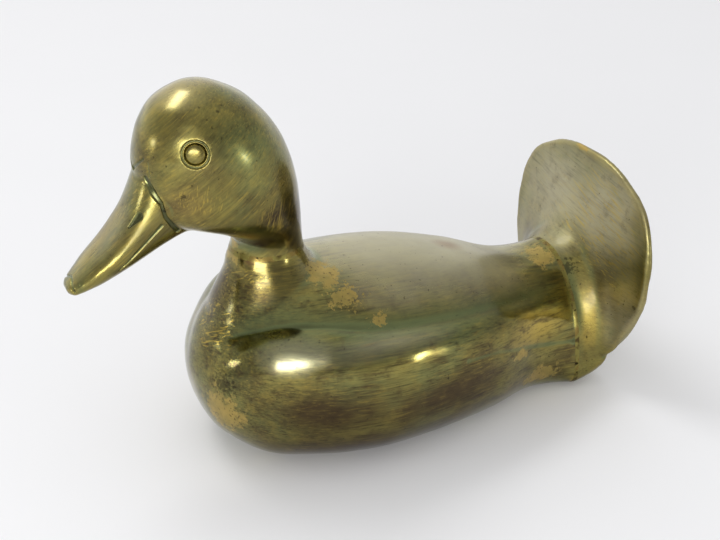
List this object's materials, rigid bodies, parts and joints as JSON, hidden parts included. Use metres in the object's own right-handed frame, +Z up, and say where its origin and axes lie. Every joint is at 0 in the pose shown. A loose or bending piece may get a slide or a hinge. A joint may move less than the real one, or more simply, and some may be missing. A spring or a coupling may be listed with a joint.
{
  "type": "brass duck ornament",
  "caption": "Cast brass duck ornament with a rounded hollow body, a turned-down bill on a domed head, stud eyes in ring seats and an upright fanned tail; stands on a flat underside.",
  "frame": {"origin": "middle of the base plate's underside, on which the duck stands", "axes": "+X from the tail to the bill, +Y to the duck's own left, +Z up"},
  "size_m": [0.1411, 0.0632, 0.0933],
  "materials": {
    "aged_brass": "cast, polished and unlacquered, with olive tarnish",
    "plain_brass": "rolled sheet, dull",
    "braze": "brazing metal, dressed flush"
  },
  "bodies": {
    "root": {"body_casting": "aged_brass", "base_plate": "plain_brass", "head_casting": "aged_brass", "neck_braze": "braze", "tail_fan": "aged_brass", "tail_braze": "braze", "eye_left": "aged_brass", "eye_right": "aged_brass"}
  },
  "joints": []
}
